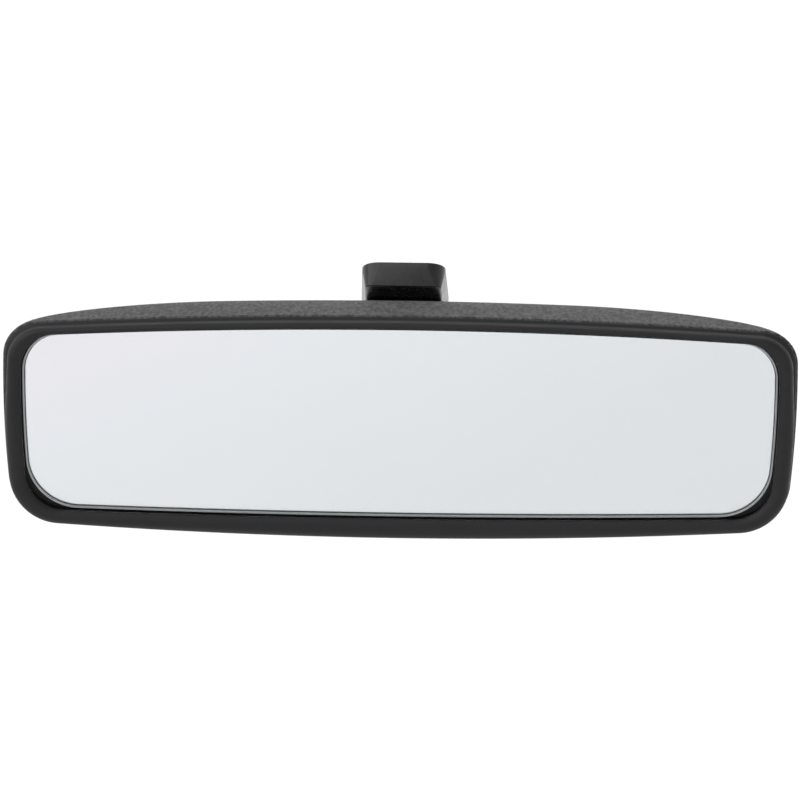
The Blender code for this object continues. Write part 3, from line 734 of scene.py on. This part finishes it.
def make_shell(plastic):
    """The rear housing: rounded front rim, domed skin, neck hole, and the bosses and ribs inside."""
    count = 34
    places = [DOME_END * k / count for k in range(1, count + 1)]
    rings = [head_ring(SHELL_INNER_SHARE, SKIRT_END + GAP), head_ring(SHELL_INNER_SHARE, SEAM_Y + GAP)]
    for angle in (90, 67, 45, 22, 0):
        a = math.radians(angle)
        inset = RIM_RADIUS * (1 - math.cos(a))
        rings.append(rim_ring(inset, SEAM_Y + GAP + RIM_RADIUS * (1 - math.sin(a))))
    rings += [dome_ring(0.0, SHELL_DEPTH, t) for t in places]
    hole = COLLAR_SLEEVE + GAP
    rings += closing_rings(rings[-1], hole, SHELL_BACK, 5)
    inner_depth = SHELL_DEPTH - SHELL_WALL
    inner = [dome_ring(SHELL_WALL, inner_depth, t) for t in places if t > 0.14]
    inner += closing_rings(inner[-1], hole, inner[-1][0][1], 3)
    bm = lofted(rings + inner[::-1], closed=True)

    in_the_wall = SHELL_BACK - SHELL_WALL / 2
    boss = [
        (PILOT_RADIUS, 0.003),
        (PILOT_RADIUS, FLANGE_BACK + GAP),
        (0.0030, FLANGE_BACK + GAP),
        (0.0032, FLANGE_BACK + GAP + 0.0002),
        (0.0034, in_the_wall),
        (0.0, in_the_wall),
        (0.0, 0.003),
    ]
    for x, z in BRACKET_HOLES:
        add_turned(bm, boss, 32, (x, 0.0, z))
    for x, front, end in ((0.045, -0.002, 0.0058), (0.075, -0.006, -0.0003)):
        for side in (-x, x):
            add_prism(bm, rectangle(0.0006, 0.020, (side, 0.0)), front, end, "Y")
    add_piece(
        "housing_shell", bm, HEAD, [plastic], "head", "rear_housing", sharp=40
    )


def edge_height(x, share, side):
    """The height of head_ring's top edge, side 0, or bottom edge, side 1, at x."""
    rim, rim_radius = ((HALF_HEIGHT, TOP_RADIUS), (-HALF_HEIGHT, -BOTTOM_RADIUS))[side]
    opening, opening_radius = ((OPEN_TOP, OPEN_TOP_RADIUS), (-OPEN_BOTTOM, -OPEN_BOTTOM_RADIUS))[side]
    at_rim = rim - x * x / (2 * rim_radius)
    at_opening = opening - x * x / (2 * opening_radius)
    return at_rim + (at_opening - at_rim) * share


def bead_ring(top_share, low_share, y):
    """Like head_ring, with one share along the top and another along the bottom."""
    ring = []
    for (ax, _, az), (bx, _, bz) in zip(head_ring(top_share, y), head_ring(low_share, y)):
        lower = min(max((GROOVE_TOP - az) / (GROOVE_TOP - GROOVE_END), 0.0), 1.0)
        lower = lower * lower * (3 - 2 * lower)
        ring.append((ax + (bx - ax) * lower, y, az + (bz - az) * lower))
    return ring


def make_bezel(plastic):
    """The front frame: its rounded bead, lip, inner wall, ledge, skirt and hooks."""
    bead = [
        (0.10, 0.09, SEAM_Y),
        (0.14, 0.09, -0.0189),
        (0.24, 0.09, -0.0192),
        (0.30, 0.09, -0.0197),
        (0.29, 0.10, -0.0206),
        (0.29, 0.13, -0.0217),
        (0.31, 0.18, -0.0226),
        (0.36, 0.26, -0.0233),
        (0.45, 0.40, -0.0239),
        (0.60, 0.58, -0.0242),
        (0.78, 0.78, -0.0240),
        (0.93, 0.93, -0.0235),
        (0.985, 0.985, -0.0231),
        (1.00, 1.00, -0.0226),
        (0.98, 0.98, -0.0220),
        (WALL_SHARE, WALL_SHARE, -0.0212),
    ]
    top_line = smooth_line([(top, y) for top, _, y in bead], 4)
    low_line = smooth_line([(low, y) for _, low, y in bead], 4)
    rings = [bead_ring(top, low, y) for (top, y), (low, _) in zip(top_line, low_line)]
    section = [
        (WALL_SHARE, LEDGE),
        (SKIRT_INNER_SHARE, LEDGE),
        (SKIRT_INNER_SHARE, SKIRT_END),
        (SKIRT_OUTER_SHARE, SKIRT_END),
        (SKIRT_OUTER_SHARE, SEAM_Y),
    ]
    rings += [head_ring(share, y) for share, y in section]
    bm = lofted(rings, closed=True)
    for side, inward in ((0, -1), (1, 1)):
        for x in (-0.066, 0.0, 0.066):
            root = edge_height(x, HOOK_ROOT_SHARE, side)
            plate_edge = edge_height(x, PLATE_SHARE, side)
            wedge = [
                (PLATE_BACK + GAP, root),
                (PLATE_BACK + GAP, plate_edge + inward * 0.0011),
                (SKIRT_END - 0.0002, root),
            ]
            add_prism(bm, wedge, x - 0.005, x + 0.005, "X")
    add_piece("bezel_frame", bm, HEAD, [plastic], "head", "front_bezel", sharp=50)


def make_glass_pane(glass, ground):
    """The pane: clear faces, and a chamfered edge that is ground all round."""
    rings = [
        glass_ring(GLASS_CHAMFER, GLASS_FRONT),
        glass_ring(0.0, GLASS_FRONT + GLASS_CHAMFER),
        glass_ring(0.0, GLASS_BACK - GLASS_CHAMFER),
        glass_ring(GLASS_CHAMFER, GLASS_BACK),
    ]
    bm = bmesh.new()
    for strip in skin(bm, rings):
        for face in strip:
            face.material_index = 1
    add_piece(
        "glass_pane", bm, HEAD, [glass, ground], "head", "mirror_glass", sharp=30
    )


def make_coating(silver):
    rings = [glass_ring(SILVER_INSET, y) for y in (COATING_FRONT, COATING_BACK)]
    add_piece("silver_layer", lofted(rings), HEAD, [silver], "head", "mirror_coating")


# ---------------------------------------------------------------- head: what shows through the neck hole


def make_collar(plastic):
    """The trim ring in the neck hole, with rounded edges."""
    back = SHELL_BACK
    outside = smooth_line(
        [
            (0.0146, back + GAP),
            (0.01455, back + 0.0006),
            (0.0143, back + 0.0010),
            (0.0138, back + 0.0013),
            (0.0130, back + 0.0014),
            (0.0121, back + 0.0013),
            (0.0115, back + 0.0009),
            (0.0112, back + 0.0002),
        ],
        3,
    )
    section = outside + [
        (0.0112, back - 0.0030),
        (COLLAR_SLEEVE, back - 0.0030),
        (COLLAR_SLEEVE, back + GAP),
    ]
    add_piece(
        "neck_ring", turned(section), HEAD, [plastic], "head", "neck_collar"
    )


def make_socket(plastic):
    """The bracket with its ball socket, rounded rim, flange, screw holes and clamp posts."""
    bore = CAP_OUTER + GAP
    section = [
        *sphere_arc(SOCKET_OUTER, 82, 58.5, 14),
        *arc_between(SOCKET_OUTER, SOCKET_INNER, 58.5, 56),
        *sphere_arc(SOCKET_INNER, 56, 92, 18),
        (bore, -0.0015),
        (bore, FLANGE_FRONT),
        (FLANGE_RADIUS - 0.0003, FLANGE_FRONT),
        (FLANGE_RADIUS, FLANGE_FRONT + 0.0003),
        (FLANGE_RADIUS, FLANGE_BACK - 0.0003),
        (FLANGE_RADIUS - 0.0003, FLANGE_BACK),
        (SLEEVE_OUTER + 0.0006, FLANGE_BACK),
        (SLEEVE_OUTER, FLANGE_BACK + 0.0006),
        (SLEEVE_OUTER, 0.0010),
    ]
    bm = turned(section)
    post = [
        (PILOT_RADIUS, CLAMP_BACK + GAP),
        (0.0026, CLAMP_BACK + GAP),
        (0.0030, FLANGE_FRONT + 0.0005),
        (PILOT_RADIUS, FLANGE_FRONT + 0.0005),
    ]
    for x, z in CLAMP_HOLES:
        add_turned(bm, post, 32, (x, 0.0, z))
    holes = bmesh.new()
    for x, z in BRACKET_HOLES:
        ring = arc((x, z), 0.0016, 0, 360, 32)[1:]
        add_prism(holes, ring, FLANGE_FRONT - 0.001, FLANGE_BACK + 0.001, "Y")
    add_piece(
        "ball_socket", bm, HEAD, [plastic], "head", "socket_bracket", cuts=[holes]
    )


def arc_between(outer, inner, start, end):
    """Two points that round the socket's rim over from its outer sphere to its inner one."""
    middle = (outer + inner) / 2
    first = sphere_arc(outer - 0.0003, start - 1.6, start - 1.6, 1)[:1]
    second = sphere_arc(middle, end - 1.5, end - 1.5, 1)[:1]
    return first + second


def make_rear_liner(nylon):
    section = [*sphere_arc(BALL_RADIUS + GAP, 52, 76, 12), *sphere_arc(LINER_OUTER, 76, 52, 12)]
    add_piece("liner_belt", turned(section), HEAD, [nylon], "pan_ring", "rear_liner")


# ---------------------------------------------------------------- mount: stud, arm, foot, screws


def make_ball_stud(metal):
    """Ball, waisted neck, flange against the arm, and the stem that is pressed into it."""
    neck_angle = math.degrees(math.asin(NECK_RADIUS / BALL_RADIUS))
    neck = smooth_line(
        [
            (NECK_RADIUS, BALL_RADIUS * math.cos(math.radians(neck_angle)) + 0.0003),
            (NECK_RADIUS - 0.0001, 0.0100),
            (NECK_RADIUS, 0.0130),
            (0.0047, 0.0150),
        ],
        5,
    )
    section = [
        *sphere_arc(BALL_RADIUS, 180, neck_angle, 40),
        *neck,
        (0.0050, 0.0153),
        (0.0052, 0.0157),
        (0.0052, STUD_SHOULDER_Y - 0.0002),
        (0.0050, STUD_SHOULDER_Y),
        (0.0030, STUD_SHOULDER_Y),
        (0.0030, STUD_END_Y - 0.0004),
        (0.0026, STUD_END_Y),
        (0.0, STUD_END_Y),
    ]
    add_piece("stud", turned(section), HEAD, [metal], "mount", "ball_stud")


def bezier(points, t):
    a, b, c, d = points
    u = 1 - t
    return a * u**3 + b * 3 * u * u * t + c * 3 * u * t * t + d * t**3


def bezier_heading(points, t):
    a, b, c, d = points
    u = 1 - t
    return ((b - a) * u * u + (c - b) * 2 * u * t + (d - c) * t * t).normalized()


def squared_circle(power, steps):
    """A unit circle where power is 2, which gets nearer to a square as power grows."""
    points = []
    for a, b in arc((0, 0), 1.0, 0, 360, steps)[1:]:
        points.append(
            (
                math.copysign(abs(a) ** (2 / power), a),
                math.copysign(abs(b) ** (2 / power), b),
            )
        )
    return points


def make_arm(plastic):
    """The cast arm, from the stud's shoulder up to the squarer pad under the foot, with its ends rounded."""
    normal = Vector((0.0, math.sin(RAKE), math.cos(RAKE)))
    start = Vector((0.0, STUD_SHOULDER_Y + GAP, 0.0))
    end = SEAT_FROM_BALL - normal * (FOOT_THICKNESS + GAP)
    path = [start, start + Vector((0.0, 0.0125, 0.0)), end - normal * 0.012, end]
    side = Vector((1.0, 0.0, 0.0))

    def ring_at(t, inset):
        swell = 0.5 - 0.5 * math.cos(math.pi * t)
        half_wide = 0.0058 + 0.0047 * swell**0.9 - inset
        half_high = 0.0058 + 0.0018 * swell**3 - inset
        upward = side.cross(bezier_heading(path, t))
        middle = bezier(path, t)
        ring = squared_circle(2.0 + 6.0 * swell, 96)
        return [middle + side * (half_wide * a) + upward * (half_high * b) for a, b in ring]

    rings = [ring_at(0.0, 0.0006), ring_at(0.004, 0.0003), ring_at(0.012, 0.0001), ring_at(0.024, 0.0)]
    rings += [ring_at(k / 40, 0.0) for k in range(2, 40)]
    rings += [ring_at(0.985, 0.0), ring_at(0.993, 0.0001), ring_at(1.0, 0.0004)]
    bore = prism(arc((0, 0), 0.0033, 0, 360, 64)[1:], start.y - 0.001, STUD_END_Y + GAP, "Y")
    holes = screw_holes()
    holes.transform(HEAD.inverted() @ FOOT)
    add_piece(
        "cast_arm", lofted(rings), HEAD, [plastic], "mount", "arm", [bore, holes]
    )


def foot_ring(upper_half, lower_half, upper_y, lower_y, corner, z, inset=0.0):
    """A tapering outline across the foot at height z, with its corners rounded to this radius."""
    corners = [
        (-upper_half + inset, upper_y + inset),
        (upper_half - inset, upper_y + inset),
        (lower_half - inset, lower_y - inset),
        (-lower_half + inset, lower_y - inset),
    ]
    return [(x, y, z) for x, y in rounded(corners, corner - inset)]


def channel_half(y):
    share = (y - CHANNEL_UPPER_Y) / (CHANNEL_LOWER_Y - CHANNEL_UPPER_Y)
    return CHANNEL_UPPER_HALF + (CHANNEL_LOWER_HALF - CHANNEL_UPPER_HALF) * share


def screw_holes():
    """The two countersunk holes through the channel, the cover and the arm, in the foot's frame."""
    head_top = SLOT_FLOOR - 0.0001
    tip = -0.0128
    hole = [
        (0.0, SLOT_FLOOR + 0.0005),
        (0.0024, SLOT_FLOOR + 0.0005),
        (0.0024, SLOT_FLOOR),
        (PILOT_RADIUS, head_top - 0.0013),
        (PILOT_RADIUS, tip - GAP),
        (0.0, tip - GAP),
    ]
    holes = bmesh.new()
    for x in (-SCREW_X, SCREW_X):
        add_turned(holes, hole, 48, (x, 0.0, 0.0), "Z")
    return holes


def make_foot_cover(plastic):
    """The foot: a tapering block with rolled edges and a pocket for the channel."""
    ends = FOOT_HALF_LENGTH
    low_edge, top_edge = 0.0004, 0.0004
    lowest = (0.0104, 0.0112, -ends, ends - 0.0014, 0.0020)
    highest = (0.0113, 0.0124, -ends, ends, 0.0050)
    rings = []
    for angle in (90, 72, 54, 36, 18, 0):
        a = math.radians(angle)
        z = -FOOT_THICKNESS + low_edge * (1 - math.sin(a))
        rings.append(foot_ring(*lowest, z, low_edge * (1 - math.cos(a))))
    rings.append(foot_ring(0.0113, 0.0123, -ends, ends - 0.0002, 0.0050, -0.0016))
    for angle in (0, 30, 60, 90):
        a = math.radians(angle)
        z = -top_edge * (1 - math.sin(a))
        rings.append(foot_ring(*highest, z, top_edge * (1 - math.cos(a))))
    pocket_rings = []
    for y in (CHANNEL_UPPER_Y - GAP, CHANNEL_LOWER_Y + 0.004):
        half = channel_half(y) + GAP
        pocket_rings.append(
            [(half, y, 0.001), (half, y, POCKET_FLOOR), (-half, y, POCKET_FLOOR), (-half, y, 0.001)]
        )
    recess = prism(
        rectangle(0.0031, 0.00925, (0.0, -0.00325)), SPRING_POCKET_FLOOR, POCKET_FLOOR + 0.001, "Z"
    )
    add_piece(
        "foot_block",
        lofted(rings),
        FOOT,
        [plastic],
        "mount",
        "foot_cover",
        [lofted(pocket_rings), recess, screw_holes()],
    )


def make_channel(steel):
    """The folded steel channel, with its edges broken."""
    lip, wall = 0.0032, 0.0012
    rings = []
    for y in (CHANNEL_UPPER_Y, CHANNEL_LOWER_Y):
        half = channel_half(y)
        right = [(half - wall, SLOT_FLOOR), (half - lip, -GAP), (half, -GAP), (half, CHANNEL_BOTTOM)]
        left = [(-x, z) for x, z in right[::-1]]
        rings.append([(x, y, z) for x, z in right + left])
    window = prism(
        rounded(rectangle(0.0030, 0.0068, (0.0, -0.0054)), 0.0008, 6),
        CHANNEL_BOTTOM - 0.001,
        -0.001,
        "Z",
    )
    add_piece(
        "steel_channel",
        lofted(rings),
        FOOT,
        [steel],
        "mount",
        "button_channel",
        [window, screw_holes()],
        bevel=0.00012,
    )


def make_mount_screws(steel):
    """The two countersunk screws, with cross recesses in their heads."""
    head_top = SLOT_FLOOR - 0.0001
    tip = -0.0128
    section = [
        (0.0, head_top),
        (0.0019, head_top),
        (0.0021, head_top - 0.00015),
        (SHANK_RADIUS, head_top - 0.0011),
        (SHANK_RADIUS, tip + 0.0008),
        (0.0, tip),
    ]
    for name, node, x in (
        ("screw_left", "mount_screw_left", -SCREW_X),
        ("screw_right", "mount_screw_right", SCREW_X),
    ):
        cross = bmesh.new()
        add_prism(cross, rectangle(0.0012, 0.00026, (x, 0.0)), head_top - 0.0008, 0.0, "Z")
        across = bmesh.new()
        add_prism(across, rectangle(0.00026, 0.0012, (x, 0.0)), head_top - 0.0008, 0.0, "Z")
        add_piece(
            name,
            turned(section, 48, (x, 0.0, 0.0), "Z"),
            FOOT,
            [steel],
            "mount",
            node,
            [cross, across],
        )


# ---------------------------------------------------------------- carried-over nodes, floor and light


def finish_cad_nodes(finishes):
    """The hidden inner pieces keep the CAD's meshes, with broken edges and real finishes."""
    for material, names in finishes:
        for name in names:
            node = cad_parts[name]
            for place in node.material_slots:
                place.material = material
            modifier = node.modifiers.new("broken_edges", "BEVEL")
            modifier.width = 0.00008
            modifier.segments = 2
            modifier.limit_method = "ANGLE"
            modifier.angle_limit = math.radians(50)


FLOOR_DROP = 1.3
FLOOR_HALF = 60.0


def make_floor_paper():
    """Pale paper, with painted shade. In front of the mirror, which shows that part of it, its colour darkens
    from left to right, standing in for the uneven studio light that the mirror shows.
    """
    # painted shade: grey stops that darken the floor's colour in front of the mirror
    stops = ((0.1, 0.922), (0.2, 0.895), (0.3, 0.866), (0.42, 0.85))
    material = new_material("floor_paper_painted_shade", (0.94, 0.94, 0.94), 0.9, specular=0.0)
    tree = material.node_tree
    where = tree.nodes.new("ShaderNodeTexCoord")
    mapping = tree.nodes.new("ShaderNodeMapping")
    mapping.inputs["Location"].default_value = (0.89, 0.0, 0.0)
    mapping.inputs["Rotation"].default_value = (0.0, 0.0, math.radians(-25))
    mapping.inputs["Scale"].default_value = (0.3, 0.3, 0.3)
    shade = tree.nodes.new("ShaderNodeTexGradient")
    tree.links.new(where.outputs["Object"], mapping.inputs["Vector"])
    tree.links.new(mapping.outputs["Vector"], shade.inputs["Vector"])
    # painted shade for the mirror to show: the floor's colour falls from near white to grey 0.85 and rises
    # again
    ramp = vary_colour(
        material, shade.outputs["Fac"], (0.977, 0.931, 0.948), (0.96, 0.96, 0.96), 0.0, 0.65
    )
    for place, grey in stops:
        ramp.elements.new(place).color = (grey, grey, grey, 1.0)
    return material


def make_floor():
    bm = bmesh.new()
    bmesh.ops.create_grid(bm, x_segments=12, y_segments=12, size=FLOOR_HALF)
    mesh = bpy.data.meshes.new("floor")
    bm.to_mesh(mesh)
    bm.free()
    floor = bpy.data.objects.new("floor", mesh)
    floor.location = (0.0, 0.0, BALL.z - FLOOR_DROP)
    bpy.context.scene.collection.objects.link(floor)
    mesh.materials.append(make_floor_paper())


def make_world():
    """An even white room, brightest at the horizon and softer overhead."""
    world = bpy.data.worlds.new("studio")
    world.use_nodes = True
    tree = world.node_tree
    background = tree.nodes["Background"]
    background.inputs["Color"].default_value = (1.0, 1.0, 1.0, 1.0)
    where = tree.nodes.new("ShaderNodeTexCoord")
    split = tree.nodes.new("ShaderNodeSeparateXYZ")
    level = tree.nodes.new("ShaderNodeMapRange")
    level.interpolation_type = "SMOOTHSTEP"
    level.inputs["From Min"].default_value = 0.02
    level.inputs["From Max"].default_value = 0.75
    level.inputs["To Min"].default_value = 1.02
    level.inputs["To Max"].default_value = 0.56
    tree.links.new(where.outputs["Generated"], split.inputs["Vector"])
    tree.links.new(split.outputs["Z"], level.inputs["Value"])
    tree.links.new(level.outputs["Result"], background.inputs["Strength"])
    bpy.context.scene.world = world


def make_key():
    """A wide soft light from above on the left, a little in front."""
    data = bpy.data.lights.new("key", "SUN")
    data.energy = 1.9
    data.angle = math.radians(80)
    key = bpy.data.objects.new("key", data)
    direction = Vector((0.8, 0.45, -1.0))
    key.rotation_mode = "QUATERNION"
    key.rotation_quaternion = direction.to_track_quat("-Z", "Y")
    bpy.context.scene.collection.objects.link(key)


# ---------------------------------------------------------------- the whole scene


def build():
    make_camera()
    grained = make_grained_plastic()
    satin = make_bezel_plastic()
    gloss = make_foot_plastic()
    moulded = make_inner_plastic()
    nylon = make_nylon()
    steel = make_zinc_plate()

    make_shell(grained)
    make_bezel(satin)
    make_glass_pane(make_glass(), make_ground_edge())
    make_coating(make_silver())
    make_collar(satin)
    make_socket(moulded)
    make_rear_liner(nylon)
    make_ball_stud(make_coated_zinc())
    make_arm(make_arm_coat())
    make_foot_cover(gloss)
    make_channel(steel)
    make_mount_screws(steel)
    finish_cad_nodes(
        [
            (make_foam(), ["foam_tape_left", "foam_tape_right"]),
            (moulded, ["backing_plate", "pressure_cap"]),
            (nylon, ["front_liner"]),
            (
                steel,
                [
                    "clamp_spring",
                    "clamp_plate",
                    "lock_spring",
                    *[f"bracket_screw_{number}" for number in range(1, 5)],
                    *[f"clamp_screw_{number}" for number in range(1, 3)],
                ],
            ),
        ]
    )

    make_floor()
    make_world()
    make_key()
    bpy.context.scene.view_settings.view_transform = "Standard"


build()
